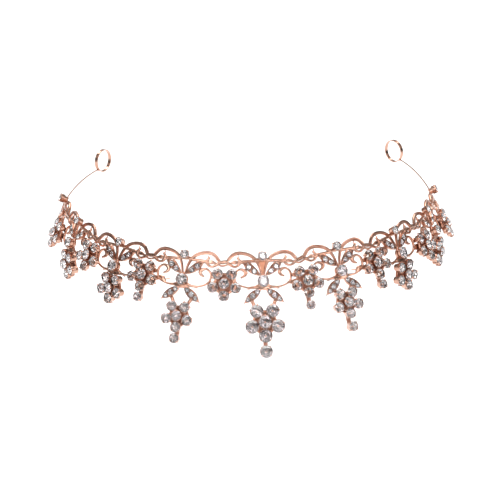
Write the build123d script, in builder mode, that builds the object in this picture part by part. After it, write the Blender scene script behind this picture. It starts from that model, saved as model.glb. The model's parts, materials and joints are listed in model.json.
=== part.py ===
"""Bridal tiara: cast scroll band with crystal clusters, wire arms and pin loops.

Millimetres, +Z up, front towards -Y. The origin is the centre of the wearer's head,
level with the body stones of the butterflies.
"""
from build123d import *
import math
import os

os.makedirs("parts", exist_ok=True)

# Band
BAND_RADIUS = 73.3  # circle through the body stones, on the middle of the casting
PITCH = 21.55  # degrees between neighbouring butterflies
FLARE = 27.0  # degrees that the band leans outwards towards its lower edge
SIDE_ANGLE = 5.47  # degrees from a butterfly's middle to the flat of each wing
PLATE = 1.1  # thickness of the cast frame
SOLDER_TAB = 0.6  # thickness of the plates that the clusters are soldered on by

# Heights up the cone from the body stones, negative below
TOP_STONE_Y = 8.58
FLOWER_Y = -1.0

# Stone radii
BODY_STONE = 1.95
TOP_STONE = 1.5
FLOWER_STONE = 1.79
BIG_STONE = 2.25
BIG_DROP_STONE = 2.1
MID_DROP_STONE = 1.65
SMALL_DROP_STONE = 1.55

# Stone and cup proportions, as parts of the stone's radius
CROWN = 0.34
TABLE = 0.6
PAVILION = 0.78
CULET = 0.12
CUP_FOOT = 0.72
CUP_RIM = 0.1  # millimetres that a cup's rim stands outside its stone
SEAT_GAP = 0.02  # millimetres between a stone and its seat

# Heights of stones' girdles above the middle of the cast frame
BODY_GIRDLE = 2.2
END_GIRDLE = 2.8
LEAF_GIRDLE = 0.75
FLOWER_GIRDLE = 2.5
FLOWER_CORE_GIRDLE = 3.2
PENDANT_GIRDLE = 1.8
PENDANT_CORE_GIRDLE = 2.5

# Widths of the cast wires and soldered strips
RAIL = 1.15
JUNCTION = 1.2
SCROLL = 0.65
BAR = 0.9
STRAND = 0.5
KNOB_RADIUS = 0.55
STEM = 1.3  # between the body cup and the V
V_BAR = 1.1
FOOT_BAR = 1.0  # from an end terminal's foot to its scroll
CLUSTER_TAB = 1.4
DROP_TAB = 1.5

# One wing of a butterfly: x is away from the butterfly's middle, y is up the cone
WING_ARC = [(0.4, 2.2), (1.2, 5.2), (2.6, 7.7), (4.9, 9.2), (8.2, 9.75), (10.4, 9.1), (12.1, 7.0)]
JUNCTION_BAR = [(11.9, 6.75), (13.8, 6.65)]  # these two end on the seam between units
JUNCTION_STRAND = [(11.9, 6.1), (12.8, 5.55), (13.8, 5.4)]
UNDER_CURL = [(12.1, 6.3), (11.3, 5.7), (10.2, 5.15), (9.1, 5.2), (8.2, 5.9), (7.95, 6.9), (8.5, 7.9)]
SIDE_BAR = [(2.5, 7.0), (5.2, 6.95), (7.9, 6.6)]
LEAF_RAIL = [(1.5, 2.8), (3.2, 5.2), (5.2, 6.8), (6.8, 7.2)]
LOWER_SCROLL = [
    (1.9, -1.9),
    (4.9, -2.0),
    (6.6, -1.7),
    (8.1, -1.1),
    (9.3, -0.1),
    (9.7, 1.6),
    (9.5, 2.9),
    (8.7, 3.8),
    (7.6, 4.2),
    (6.3, 3.7),
    (5.85, 2.9),
    (6.4, 2.0),
    (7.3, 1.5),
]
KNOBS = [(8.5, 7.9), (7.3, 1.5)]
BULB = [(8.9, 0.2), (5.9, -1.8)]  # leaf-shaped swelling on the outer scrolls beside the middle butterfly
BULB_WIDTH = 2.2
V_CORNER = (2.65, 7.9)
V_APEX = (0.0, 2.1)
V_BAR_DROP = 0.45  # from the V's top edge to the middle of its bar

# Body plate under the body cup
PLATE_Y = -1.85
PLATE_HALF_LENGTH = 3.2
PLATE_HALF_HEIGHT = 1.15

# Leaves with a row of stones
LEAF_FACE = 0.85  # height of a leaf's rim above the middle of the frame
LOWER_LEAF = [(0.75, -2.45), (6.75, -7.2)]
LOWER_LEAF_WIDTH = 2.7
LOWER_LEAF_STEP = 2.1
LOWER_LEAF_STONES = [0.8, 0.92, 0.76]
UPPER_LEAF = [(0.75, 1.9), (6.75, 6.6)]
UPPER_LEAF_WIDTH = 2.4
UPPER_LEAF_STEP = 2.35
UPPER_LEAF_STONES = [0.86, 0.86]

# Foot of an end terminal, under its V
FOOT_Y = -1.3
FOOT_REACH = 2.2

# Half of the fleur plate behind each flower, from the flower's middle
FLEUR = [
    (0.0, 1.4),
    (2.6, 2.3),
    (4.6, 1.9),
    (4.0, 0.3),
    (5.5, -0.8),
    (4.0, -1.6),
    (3.8, -3.0),
    (2.2, -2.8),
    (0.0, -2.6),
]

# Clusters: rings through the petals, and where the tabs run
PETALS = 5
FLOWER_RING = 4.1
SMALL_RING = 3.87
BIG_RING = 4.6
CLUSTER_PLATE = 0.8  # radius of the plate behind a cluster, as a part of its ring
PENDANT_TABS = [[(-3.0, -9.2), (-4.2, -5.6)], [(3.0, -9.2), (4.2, -5.6)]]
SMALL_PENDANT_TABS = [[(-2.3, -8.6), (-4.0, -5.6)], [(2.3, -8.6), (4.0, -5.6)]]
SHORT_PENDANT_TABS = [[(-2.3, -7.4), (-3.6, -5.4)], [(2.3, -7.4), (3.6, -5.4)]]
STRAP_BEND_Y = -1.9
STRAP = [[(0, -7.0), (0, STRAP_BEND_Y - CLUSTER_TAB / 2)]]
STRAP_ROOT = [(0, -2.6), (0, -1.2)]  # the part of a strap that lies on the frame's back
PENDANT_BACK = -PLATE / 2 - SOLDER_TAB
DROP_BACK = PENDANT_BACK - SOLDER_TAB

# Pendants: centre height, ring, stone radius, tabs, and the flare that they hang at
PENDANTS = {
    "center": (-13.84, BIG_RING, BIG_STONE, PENDANT_TABS, FLARE),
    "left_1": (-12.6, SMALL_RING, FLOWER_STONE, SMALL_PENDANT_TABS, FLARE),
    "right_1": (-11.0, SMALL_RING, FLOWER_STONE, SHORT_PENDANT_TABS, FLARE),
    "left_2": (-7.3, SMALL_RING, FLOWER_STONE, STRAP, 14.0),
    "right_2": (-7.3, SMALL_RING, FLOWER_STONE, STRAP, 14.0),
    "left_3": (-7.3, SMALL_RING, FLOWER_STONE, STRAP, 4.0),
    "right_3": (-7.4, SMALL_RING, FLOWER_STONE, STRAP, 4.0),
}
# Drops: height and stone radius
PENDANT_DROPS = {
    "center": (-23.72, BIG_DROP_STONE),
    "left_1": (-20.25, MID_DROP_STONE),
    "right_1": (-19.45, MID_DROP_STONE),
}
FLOWER_DROPS = {
    "right_1": (-9.43, SMALL_DROP_STONE),
    "left_2": (-8.6, SMALL_DROP_STONE),
    "right_2": (-7.55, SMALL_DROP_STONE),
}

# Layout
SIDES = {"left": -1, "right": 1}
BUTTERFLIES_PER_SIDE = 3
FLOWERS_PER_SIDE = 4

# Unevenness of the hand soldering: millimetres up the cone for each unit from left to right
LIFTS = [0.0, 0.1, -0.4, -0.3, -0.1, 0.5, 0.2, -0.3, -1.9]
# Degrees to the right and millimetres up the cone
FLOWER_SHIFT = {
    "left_1": (0.7, 0.0),
    "left_2": (-0.4, 0.2),
    "left_3": (0.7, 0.9),
    "left_4": (0.0, 0.0),
    "right_1": (0.7, 0.0),
    "right_2": (0.25, 1.25),
    "right_3": (0.42, -0.5),
    "right_4": (-0.5, -1.7),
}

# Arms and loops
WIRE_RADIUS = 0.3
WIRE_START = (0.0, 9.98, 0.2)  # along, up and out from the end terminal's origin
WIRE_BOW = 0.7  # outwards and upwards at the middle of its length
LOOP_RADIUS = 4.65
LOOP_STRIP = 0.4  # thickness of the loop's strip
LOOP_WIDTH = 1.45
LOOP_Y = 36.1
LOOP_Z = 10.0
LOOP_TURN = 36.0  # degrees that the loops' axes are turned towards the back
LOOP_X = {-1: -56.7, 1: 63.0}
LOOP_CORNER_DOWN = 0.66  # where the wire meets the loop, as parts of its radius
LOOP_CORNER_FRONT = 0.8


def along(angle):
    """Direction along the band at an angle from the front, counted towards +X."""
    return Vector(math.cos(math.radians(angle)), math.sin(math.radians(angle)), 0)


def band_plane(angle, out=0.0, lift=0.0, flare=FLARE):
    """Plane that touches the band's cone: x along the band, y up the cone, z outwards."""
    turn = math.radians(angle)
    lean = math.radians(flare)
    outward = Vector(math.sin(turn), -math.cos(turn), 0)
    normal = outward * math.cos(lean) + Vector(0, 0, math.sin(lean))
    rise = Vector(0, 0, math.cos(lean)) - outward * math.sin(lean)
    return Plane(origin=outward * BAND_RADIUS + normal * out + rise * lift, x_dir=along(angle), z_dir=normal)


def lift_of(number):
    """Lift of a unit, counted from the middle one towards +X; the end terminals are the last ones."""
    return LIFTS[number + FLOWERS_PER_SIDE]


def seam_points(points, number, side):
    """Move the last of a wing's points to the height halfway between this unit and the next one."""
    x, y = points[-1]
    return points[:-1] + [(x, y + (lift_of(number + side) - lift_of(number)) / 2)]


def hung_plane(angle, lift, flare):
    """Plane for a pendant's back; a strap bends down from the band's cone to hang at its own flare."""
    bend = band_plane(angle, PENDANT_BACK, lift).from_local_coords((0, STRAP_BEND_Y, 0))
    free = band_plane(angle, PENDANT_BACK, lift, flare)
    return Plane(origin=bend - free.y_dir * STRAP_BEND_Y, x_dir=free.x_dir, z_dir=free.z_dir)


def finish(part, label):
    """Name a part and write it."""
    part.label = label
    export_step(part, f"parts/{label}.step")


def stroke(points, width, side=1, shift=0.0):
    """Add a smooth wire of even width to the open sketch, with round ends."""
    placed = [(side * (x - shift), y) for x, y in points]
    with BuildLine() as path:
        if len(placed) > 2:
            Spline(*placed)
        else:
            Line(*placed)
    trace(path.line, line_width=width)
    with Locations(placed[0], placed[-1]):
        Circle(width / 2)


def leaf_outline(ends, width, side, shift=0.0):
    """Add a pointed leaf between two ends to the open sketch."""
    root, tip = [Vector(side * (x - shift), y) for x, y in ends]
    middle = (root + tip) * 0.5
    across = Vector(-(tip - root).Y, (tip - root).X).normalized() * (width / 2)
    with BuildLine() as outline:
        ThreePointArc(root, middle + across, tip)
        ThreePointArc(tip, middle - across, root)
    make_face(outline.edges())


def leaf_row(ends, side, spacing, radii):
    """Places and radii of a row of stones along the middle of a leaf."""
    root, tip = [Vector(side * x, y) for x, y in ends]
    step = (tip - root).normalized() * spacing
    start = (root + tip) * 0.5 - step * ((len(radii) - 1) / 2)
    return [(start + step * number, radius) for number, radius in enumerate(radii)]


def leaf_rows(side, lower_leaf):
    """Places and radii of all the leaf stones on one side of a butterfly."""
    row = leaf_row(UPPER_LEAF, side, UPPER_LEAF_STEP, UPPER_LEAF_STONES)
    if lower_leaf:
        row += leaf_row(LOWER_LEAF, side, LOWER_LEAF_STEP, LOWER_LEAF_STONES)
    return row


def petal_points(centre_y, ring):
    """Places of a cluster's petals, one of them straight down."""
    turns = [2 * math.pi * number / PETALS for number in range(PETALS)]
    return [(ring * math.sin(turn), centre_y - ring * math.cos(turn)) for turn in turns]


def seat(stone):
    """Cut a stone's conical seat down from the current locations of the open part."""
    Cone(
        stone * CULET + SEAT_GAP,
        stone + SEAT_GAP,
        stone * PAVILION + SEAT_GAP,
        align=(Align.CENTER, Align.CENTER, Align.MAX),
        mode=Mode.SUBTRACT,
    )


def cups(points, stone, foot, girdle):
    """Add open cups with conical seats to the open part; heights are from its plane."""
    height = girdle - foot
    with Locations([(x, y, foot) for x, y in points]):
        Cone(stone * CUP_FOOT, stone + CUP_RIM, height, align=(Align.CENTER, Align.CENTER, Align.MIN))
    with Locations([(x, y, girdle) for x, y in points]):
        seat(stone)


def stones(plane, points, radius, girdle):
    """Eight-sided stones with a flat table, as one group of separate solids."""
    flat = radius * math.cos(math.pi / 8)
    crown_taper = math.degrees(math.atan(flat * (1 - TABLE) / (radius * CROWN)))
    pavilion_taper = math.degrees(math.atan(flat * (1 - CULET) / (radius * PAVILION)))
    with BuildPart() as group:
        with BuildSketch(plane.offset(girdle)) as outline:
            with Locations(points):
                RegularPolygon(radius, 8)
        extrude(outline.sketch, amount=radius * CROWN, taper=crown_taper)
        extrude(outline.sketch, amount=-radius * PAVILION, taper=pavilion_taper)
    return group.part


def wing(number, side, bulb=False):
    """One wing of a butterfly, on its own flat, up to the radial plane where the next unit starts."""
    middle_angle = number * PITCH
    lift = lift_of(number)
    shift = BAND_RADIUS * math.radians(SIDE_ANGLE)
    flat = band_plane(middle_angle + side * SIDE_ANGLE, -PLATE / 2, lift)
    flower = band_plane(middle_angle + side * PITCH / 2, -PLATE / 2, lift)
    seam = Plane(origin=(0, 0, 0), z_dir=along(middle_angle + side * PITCH / 2) * side)
    with BuildPart() as half:
        with BuildSketch(flat):
            stroke(WING_ARC, RAIL, side, shift)
            stroke(seam_points(JUNCTION_BAR, number, side), JUNCTION, side, shift)
            stroke(seam_points(JUNCTION_STRAND, number, side), STRAND, side, shift)
            stroke(UNDER_CURL, SCROLL, side, shift)
            stroke(SIDE_BAR, BAR, side, shift)
            stroke(LEAF_RAIL, STRAND, side, shift)
            stroke(LOWER_SCROLL, SCROLL, side, shift)
            with Locations([(side * (x - shift), y) for x, y in KNOBS]):
                Circle(KNOB_RADIUS)
            if bulb:
                leaf_outline(BULB, BULB_WIDTH, side, shift)
        extrude(amount=PLATE)
        with BuildSketch(flower):
            with BuildLine():
                Polyline(*[(-side * x, y) for x, y in FLEUR], close=True)
            make_face()
        extrude(amount=PLATE)
        split(bisect_by=seam, keep=Keep.BOTTOM)
    return half.part


def leaf_seats(side, lower_leaf):
    """Cut the seats of the leaf stones into the open part."""
    for point, radius in leaf_rows(side, lower_leaf):
        with Locations((point.X, point.Y, LEAF_GIRDLE)):
            seat(radius)
            Cylinder(
                radius + SEAT_GAP,
                LEAF_FACE,
                align=(Align.CENTER, Align.CENTER, Align.MIN),
                mode=Mode.SUBTRACT,
            )


def butterfly_frame(number):
    """Cast frame of one butterfly: two wings, the V, the leaves and the two cups."""
    angle = number * PITCH
    lift = lift_of(number)
    long_unit = abs(number) < 2
    half, top = V_CORNER
    with BuildPart(band_plane(angle, 0, lift)) as frame:
        with BuildSketch(band_plane(angle, -PLATE / 2, lift)):
            with Locations((0, PLATE_Y)):
                Ellipse(PLATE_HALF_LENGTH, PLATE_HALF_HEIGHT)
            Circle(BODY_STONE)
            stroke([(0, 0), V_APEX], STEM)
            stroke([(-half, top - V_BAR_DROP), (half, top - V_BAR_DROP)], V_BAR)
            if number == 0:
                with BuildLine():
                    Polyline(V_APEX, V_CORNER, (-half, top), close=True)
                make_face()
        extrude(amount=PLATE)
        with BuildSketch(band_plane(angle, -PLATE / 2, lift)):
            for side in (-1, 1):
                leaf_outline(UPPER_LEAF, UPPER_LEAF_WIDTH, side)
                if long_unit:
                    leaf_outline(LOWER_LEAF, LOWER_LEAF_WIDTH, side)
        extrude(amount=PLATE / 2 + LEAF_FACE)
        for side in (-1, 1):
            leaf_seats(side, long_unit)
        cups([(0, 0)], BODY_STONE, 0, BODY_GIRDLE)
        cups([(0, TOP_STONE_Y)], TOP_STONE, 0, BODY_GIRDLE)
    with BuildPart() as casting:
        add(frame.part)
        for side in (-1, 1):
            add(wing(number, side, side * number == 1))
    return casting.part


def butterfly_stones(number):
    """Every stone that a butterfly's frame carries."""
    plane = band_plane(number * PITCH, 0, lift_of(number))
    with BuildPart() as group:
        add(stones(plane, [(0, 0)], BODY_STONE, BODY_GIRDLE))
        add(stones(plane, [(0, TOP_STONE_Y)], TOP_STONE, BODY_GIRDLE))
        for side in (-1, 1):
            for point, radius in leaf_rows(side, abs(number) < 2):
                add(stones(plane, [point], radius, LEAF_GIRDLE))
    return group.part


def cluster(plane, centre_y, ring, stone, girdle, core_girdle, tabs, root_plane=None):
    """Five cups round a raised one, on a thin plate with the tabs that it is soldered on by."""
    petals = petal_points(centre_y, ring)
    with BuildPart(plane) as setting:
        with BuildSketch(plane):
            for petal in petals:
                stroke([(0, centre_y), petal], CLUSTER_TAB)
            with Locations((0, centre_y)):
                Circle(ring * CLUSTER_PLATE)
            for tab in tabs:
                stroke(tab, CLUSTER_TAB)
        extrude(amount=SOLDER_TAB)
        cups(petals, stone, 0, girdle)
        cups([(0, centre_y)], stone, 0, core_girdle)
        if root_plane:
            with BuildSketch(root_plane):
                stroke(STRAP_ROOT, CLUSTER_TAB)
            extrude(amount=SOLDER_TAB)
    return setting.part


def cluster_stones(plane, centre_y, ring, stone, girdle, core_girdle):
    """The six stones of a cluster."""
    with BuildPart() as group:
        add(stones(plane, petal_points(centre_y, ring), stone, girdle))
        add(stones(plane, [(0, centre_y)], stone, core_girdle))
    return group.part


def drop(plane, from_y, centre_y, stone, girdle):
    """A single cup on a tab that is soldered behind the cluster above it."""
    with BuildPart(plane) as cup:
        with BuildSketch(plane):
            stroke([(0, from_y), (0, centre_y)], DROP_TAB)
        extrude(amount=SOLDER_TAB)
        cups([(0, centre_y)], stone, 0, girdle)
    return cup.part


def end_terminal(side):
    """Half a butterfly that closes the band: one wing, a filled V, a leaf and the end cup."""
    number = side * FLOWERS_PER_SIDE
    angle = number * PITCH
    lift = lift_of(number)
    with BuildPart(band_plane(angle, 0, lift)) as terminal:
        with BuildSketch(band_plane(angle, -PLATE / 2, lift)):
            with BuildLine():
                Polyline(V_APEX, V_CORNER, (-V_CORNER[0], V_CORNER[1]), close=True)
            make_face()
            stroke([(0, FOOT_Y), V_APEX], STEM)
            stroke([(0, FOOT_Y), (-side * FOOT_REACH, LOWER_SCROLL[0][1])], FOOT_BAR)
        extrude(amount=PLATE)
        with BuildSketch(band_plane(angle, -PLATE / 2, lift)):
            leaf_outline(UPPER_LEAF, UPPER_LEAF_WIDTH, -side)
        extrude(amount=PLATE / 2 + LEAF_FACE)
        leaf_seats(-side, False)
        cups([(0, TOP_STONE_Y)], TOP_STONE, 0, END_GIRDLE)
    with BuildPart() as casting:
        add(terminal.part)
        add(wing(number, -side))
    return casting.part


def end_stones(side):
    """The end cup's stone and the terminal leaf's two stones."""
    number = side * FLOWERS_PER_SIDE
    plane = band_plane(number * PITCH, 0, lift_of(number))
    with BuildPart() as group:
        add(stones(plane, [(0, TOP_STONE_Y)], TOP_STONE, END_GIRDLE))
        for point, radius in leaf_rows(-side, False):
            add(stones(plane, [point], radius, LEAF_GIRDLE))
    return group.part


def loop_plane(side):
    """Plane across a pin loop, its axis pointing outwards and to the back."""
    turn = math.radians(LOOP_TURN)
    axis = Vector(side * math.cos(turn), math.sin(turn), 0)
    centre = Vector(LOOP_X[side], LOOP_Y, LOOP_Z)
    return Plane(origin=centre - axis * (LOOP_WIDTH / 2), x_dir=(0, 0, 1), z_dir=axis)


def arm(side):
    """Wire from the end cup's back to a flat strip bent into a loop for a hairpin."""
    plane = loop_plane(side)
    down = -LOOP_RADIUS * LOOP_CORNER_DOWN
    front = side * LOOP_RADIUS * LOOP_CORNER_FRONT
    corner = plane.from_local_coords((down, front, LOOP_WIDTH / 2))
    number = side * FLOWERS_PER_SIDE
    start = band_plane(number * PITCH, 0, lift_of(number)).from_local_coords(WIRE_START)
    middle = (start + corner) * 0.5 + Vector(side * WIRE_BOW, 0, WIRE_BOW)
    with BuildPart() as wire:
        with BuildLine() as path:
            ThreePointArc(start, middle, corner)
        with BuildSketch(Plane(origin=path.line @ 0, z_dir=path.line % 0)):
            Circle(WIRE_RADIUS)
        sweep()
        with BuildSketch(plane):
            Circle(LOOP_RADIUS)
            Circle(LOOP_RADIUS - LOOP_STRIP, mode=Mode.SUBTRACT)
        extrude(amount=LOOP_WIDTH)
    return wire.part


butterflies = {"center": 0}
for side_name, side in SIDES.items():
    for number in range(1, BUTTERFLIES_PER_SIDE + 1):
        butterflies[f"{side_name}_{number}"] = side * number

drop_stones = []

for name, number in butterflies.items():
    lift = lift_of(number)
    finish(butterfly_frame(number), f"butterfly_frame_{name}")
    finish(butterfly_stones(number), f"butterfly_stones_{name}")
    centre_y, ring, stone, tabs, flare = PENDANTS[name]
    plane = hung_plane(number * PITCH, lift, flare)
    root_plane = band_plane(number * PITCH, PENDANT_BACK, lift)
    shape = (plane, centre_y, ring, stone, PENDANT_GIRDLE - PENDANT_BACK, PENDANT_CORE_GIRDLE - PENDANT_BACK)
    finish(cluster(*shape, tabs, root_plane if tabs == STRAP else None), f"pendant_setting_{name}")
    finish(cluster_stones(*shape), f"pendant_stones_{name}")
    if name in PENDANT_DROPS:
        drop_y, stone = PENDANT_DROPS[name]
        plane = band_plane(number * PITCH, DROP_BACK, lift)
        girdle = PENDANT_GIRDLE - DROP_BACK
        finish(drop(plane, centre_y - ring, drop_y, stone, girdle), f"pendant_drop_{name}")
        drop_stones.append(stones(plane, [(0, drop_y)], stone, girdle))

for side_name, side in SIDES.items():
    for number in range(1, FLOWERS_PER_SIDE + 1):
        name = f"{side_name}_{number}"
        shift, lift = FLOWER_SHIFT[name]
        angle = side * (number - 0.5) * PITCH + shift
        plane = band_plane(angle, PLATE / 2, lift)
        girdle = FLOWER_GIRDLE - PLATE / 2
        shape = (plane, FLOWER_Y, FLOWER_RING, FLOWER_STONE, girdle, FLOWER_CORE_GIRDLE - PLATE / 2)
        finish(cluster(*shape, []), f"flower_setting_{name}")
        finish(cluster_stones(*shape), f"flower_stones_{name}")
        if name in FLOWER_DROPS:
            drop_y, stone = FLOWER_DROPS[name]
            plane = band_plane(angle, PLATE / 2 - SOLDER_TAB)
            girdle += SOLDER_TAB
            finish(drop(plane, FLOWER_Y + lift - FLOWER_RING, drop_y, stone, girdle), f"flower_drop_{name}")
            drop_stones.append(stones(plane, [(0, drop_y)], stone, girdle))
    finish(end_terminal(side), f"end_terminal_{side_name}")
    finish(end_stones(side), f"end_stones_{side_name}")
    finish(arm(side), f"wire_arm_{side_name}")

with BuildPart() as all_drop_stones:
    add(drop_stones)
finish(all_drop_stones.part, "drop_stones")
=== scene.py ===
"""Bridal tiara: the finished look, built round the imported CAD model."""
import json
import math
import random

import bpy
from mathutils import Matrix, Vector


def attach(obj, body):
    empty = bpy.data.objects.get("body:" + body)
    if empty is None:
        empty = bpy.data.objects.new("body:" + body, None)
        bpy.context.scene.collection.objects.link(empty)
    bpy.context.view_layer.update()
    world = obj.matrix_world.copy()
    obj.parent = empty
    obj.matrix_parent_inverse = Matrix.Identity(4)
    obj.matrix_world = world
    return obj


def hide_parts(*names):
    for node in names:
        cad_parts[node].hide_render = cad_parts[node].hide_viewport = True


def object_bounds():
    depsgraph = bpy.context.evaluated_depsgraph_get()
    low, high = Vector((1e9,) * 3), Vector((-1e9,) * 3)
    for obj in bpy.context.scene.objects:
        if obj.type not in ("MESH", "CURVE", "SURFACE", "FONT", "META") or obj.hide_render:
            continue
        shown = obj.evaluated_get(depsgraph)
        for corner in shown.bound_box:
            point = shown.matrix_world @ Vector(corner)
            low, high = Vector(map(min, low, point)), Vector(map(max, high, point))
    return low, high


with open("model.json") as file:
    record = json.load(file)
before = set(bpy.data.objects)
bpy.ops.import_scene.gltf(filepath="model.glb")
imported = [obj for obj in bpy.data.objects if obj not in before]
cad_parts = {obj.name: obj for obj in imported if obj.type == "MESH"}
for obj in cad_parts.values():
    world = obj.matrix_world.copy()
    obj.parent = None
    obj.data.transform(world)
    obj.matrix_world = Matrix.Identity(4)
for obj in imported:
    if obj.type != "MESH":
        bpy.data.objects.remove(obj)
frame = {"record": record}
cad_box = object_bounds()

METAL, SHADE_PAINT, MID_SHADE_PAINT = 0, 1, 2  # material numbers of the castings: the plating, then a darker copy of it as painted shade and a less dark one as painted mid shade
CRYSTAL, FOIL = 0, 1  # material numbers of the stones
MM = 0.001  # the shapes below are worked out in millimetres and written in metres

# ------------------------------------------------------------------ band and layout, as in the CAD
BAND_RADIUS = 73.3  # circle through the body stones, on the middle of the casting
PITCH = 21.55  # degrees between neighbouring butterflies
FLARE = 27.0  # degrees that the band leans outwards towards its lower edge
PLATE = 1.1  # thickness of the cast frame
SOLDER_TAB = 0.6  # thickness of the plates that the clusters are soldered on by
TOP_STONE_Y = 8.58  # heights up the cone from the body stones
FLOWER_Y = -1.0

# Stone radii, then the heights of their girdles above the middle of the cast frame
BODY_STONE = 1.95
TOP_STONE = 1.5
FLOWER_STONE = 1.79
BIG_STONE = 2.25
BIG_DROP_STONE = 2.1
MID_DROP_STONE = 1.65
SMALL_DROP_STONE = 1.55
BODY_GIRDLE = 2.2
END_GIRDLE = 2.8
LEAF_GIRDLE = 0.75
FLOWER_GIRDLE = 2.5
FLOWER_CORE_GIRDLE = 3.2
PENDANT_GIRDLE = 1.8
PENDANT_CORE_GIRDLE = 2.5

# Clusters: rings through the petals, and the plate behind them as a part of the ring
FLOWER_RING = 4.1
SMALL_RING = 3.87
BIG_RING = 4.6
PETALS = 5
CLUSTER_PLATE = 0.8
CLUSTER_PLATE_SIDES = 30
STONE_SPREAD = 1.04  # the crystals cover their cups' lips
PENDANT_BACK = -PLATE / 2 - SOLDER_TAB
DROP_BACK = PENDANT_BACK - SOLDER_TAB

# One wing of a butterfly: x is away from the butterfly's middle, y is up the cone
WING_ARC = [
    (0.4, 2.2),
    (1.2, 5.2),
    (2.6, 7.7),
    (4.9, 9.2),
    (8.2, 9.75),
    (10.4, 9.1),
    (11.6, 7.9),
    (12.1, 7.2),
]
UNDER_CURL = [(12.1, 6.3), (11.3, 5.7), (10.2, 5.15), (9.1, 5.2), (8.2, 5.9), (7.95, 6.9), (8.5, 7.9)]
CURL_KNOB = (8.6, 7.95)
CURL_ROOT = [(6.9, 6.5), (7.6, 6.7), (8.1, 7.3)]
CURL_TIP = [(8.5, 7.9), (8.3, 8.5), (8.5, 9.0)]
SIDE_BAR = [(2.5, 7.0), (5.2, 6.95), (7.9, 6.6)]
LEAF_RAIL = [(1.5, 2.8), (3.2, 5.2), (5.2, 6.8), (6.8, 7.2)]
CURL_PLATE = [(8.4, 6.5), (9.6, 6.6), (11.2, 6.3)]
JUNCTION_BAR = [(11.9, 6.75), (13.0, 6.7), (13.8, 6.65)]
JUNCTION_STRAND = [(11.9, 6.1), (12.8, 5.55), (13.8, 5.4)]
LOWER_SCROLL = [
    (1.9, -1.9),
    (4.9, -2.0),
    (6.6, -1.7),
    (8.1, -1.1),
    (9.3, -0.1),
    (9.7, 1.6),
    (9.5, 2.9),
    (8.7, 3.8),
    (7.6, 4.2),
    (6.3, 3.7),
    (5.85, 2.9),
    (6.4, 2.0),
    (7.4, 1.5),
]
SCROLL_SWELL = [1.6, 1.0, 0.9, 0.9, 1.0, 1.1, 1.1, 1.0, 1.2, 1.7, 1.8, 1.3, 0.8]
SCROLL_KNOB = (7.3, 1.5)
SCROLL_CROOK = [(6.2, 3.4), (6.0, 4.1), (5.3, 4.5)]
SCROLL_SPUR = [(3.9, -1.9), (4.6, -2.4), (5.5, -2.6)]
# Leaf-shaped swelling, on the outer scrolls of the butterflies next to the middle one
BULB = [(8.9, 0.2), (7.6, -0.6), (6.2, -1.7)]
BULB_SPUR = [(6.2, -0.6), (5.0, -0.4), (4.0, -0.6)]
LOWER_LEAF = [(0.75, -2.45), (6.75, -7.2)]
UPPER_LEAF = [(0.75, 1.9), (6.75, 6.6)]
LOWER_LEAF_WIDTH = 2.85
UPPER_LEAF_WIDTH = 2.55
LOWER_LEAF_STEP = 2.1  # between a leaf's stones
UPPER_LEAF_STEP = 2.35
LOWER_LEAF_STONES = [0.8, 0.92, 0.76]
UPPER_LEAF_STONES = [0.86, 0.86]
LEAF_STONE_SPREAD = 1.08
LEAF_FACE = 0.88  # height of a leaf's rim above the middle of the frame
LEAF_RIM = 0.24
LEAF_POINTS = 14  # along each of its edges
LEAF_BEAD = 0.22  # beads that hold the stones, along both sides of a leaf
LEAF_BEAD_INSET = 0.42
LEAF_BEAD_HEIGHT = 0.78
FLEUR_PETALS = (
    ([(9.4, 1.4), (11.2, 1.7), (13.8, 1.0)], 1.9),
    ([(8.3, -0.7), (11.0, -0.8), (13.8, -0.6)], 2.3),
    ([(9.6, -2.7), (11.4, -2.4), (13.8, -1.8)], 1.9),
)
V_CORNER = (2.65, 7.9)
V_APEX = (0.0, 2.1)

# Plate under the body cup
PLATE_Y = -1.85
PLATE_HALF_LENGTH = 3.2
PLATE_HALF_HEIGHT = 1.15
PLATE_SIDES = 28

# Wires that only an end terminal has: its outer edge, the stem under its V, and the stem's foot
FOOT_Y = -1.3
END_EDGE = [(0.4, 2.2), (1.2, 5.2), (2.5, 7.7)]
END_STEM = [(0, FOOT_Y), (0, 2.4)]
END_FOOT = [(0, FOOT_Y), (2.2, -1.4)]
END_STONE_TURN = 0.4

# Unevenness of the hand soldering: millimetres up the cone for each unit from left to right
LIFTS = [0.0, 0.1, -0.4, -0.3, -0.1, 0.5, 0.2, -0.3, -1.9]
# Degrees to the right and millimetres up the cone
FLOWER_SHIFT = {
    "left_1": (0.7, 0.0),
    "left_2": (-0.4, 0.2),
    "left_3": (0.7, 0.9),
    "left_4": (0.0, 0.0),
    "right_1": (0.7, 0.0),
    "right_2": (0.25, 1.25),
    "right_3": (0.42, -0.5),
    "right_4": (-0.5, -1.7),
}

# Tabs of the pendants; a strap bends where it leaves the frame's back
STRAP_BEND_Y = -1.9
PENDANT_TABS = [[(-3.0, -9.2), (-4.2, -5.6)], [(3.0, -9.2), (4.2, -5.6)]]
SMALL_PENDANT_TABS = [[(-2.3, -8.6), (-4.0, -5.6)], [(2.3, -8.6), (4.0, -5.6)]]
SHORT_PENDANT_TABS = [[(-2.3, -7.4), (-3.6, -5.4)], [(2.3, -7.4), (3.6, -5.4)]]
STRAP = [[(0, -7.0), (0, -2.6)]]
STRAP_ROOT = [(0, -3.0), (0, -0.9)]
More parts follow.
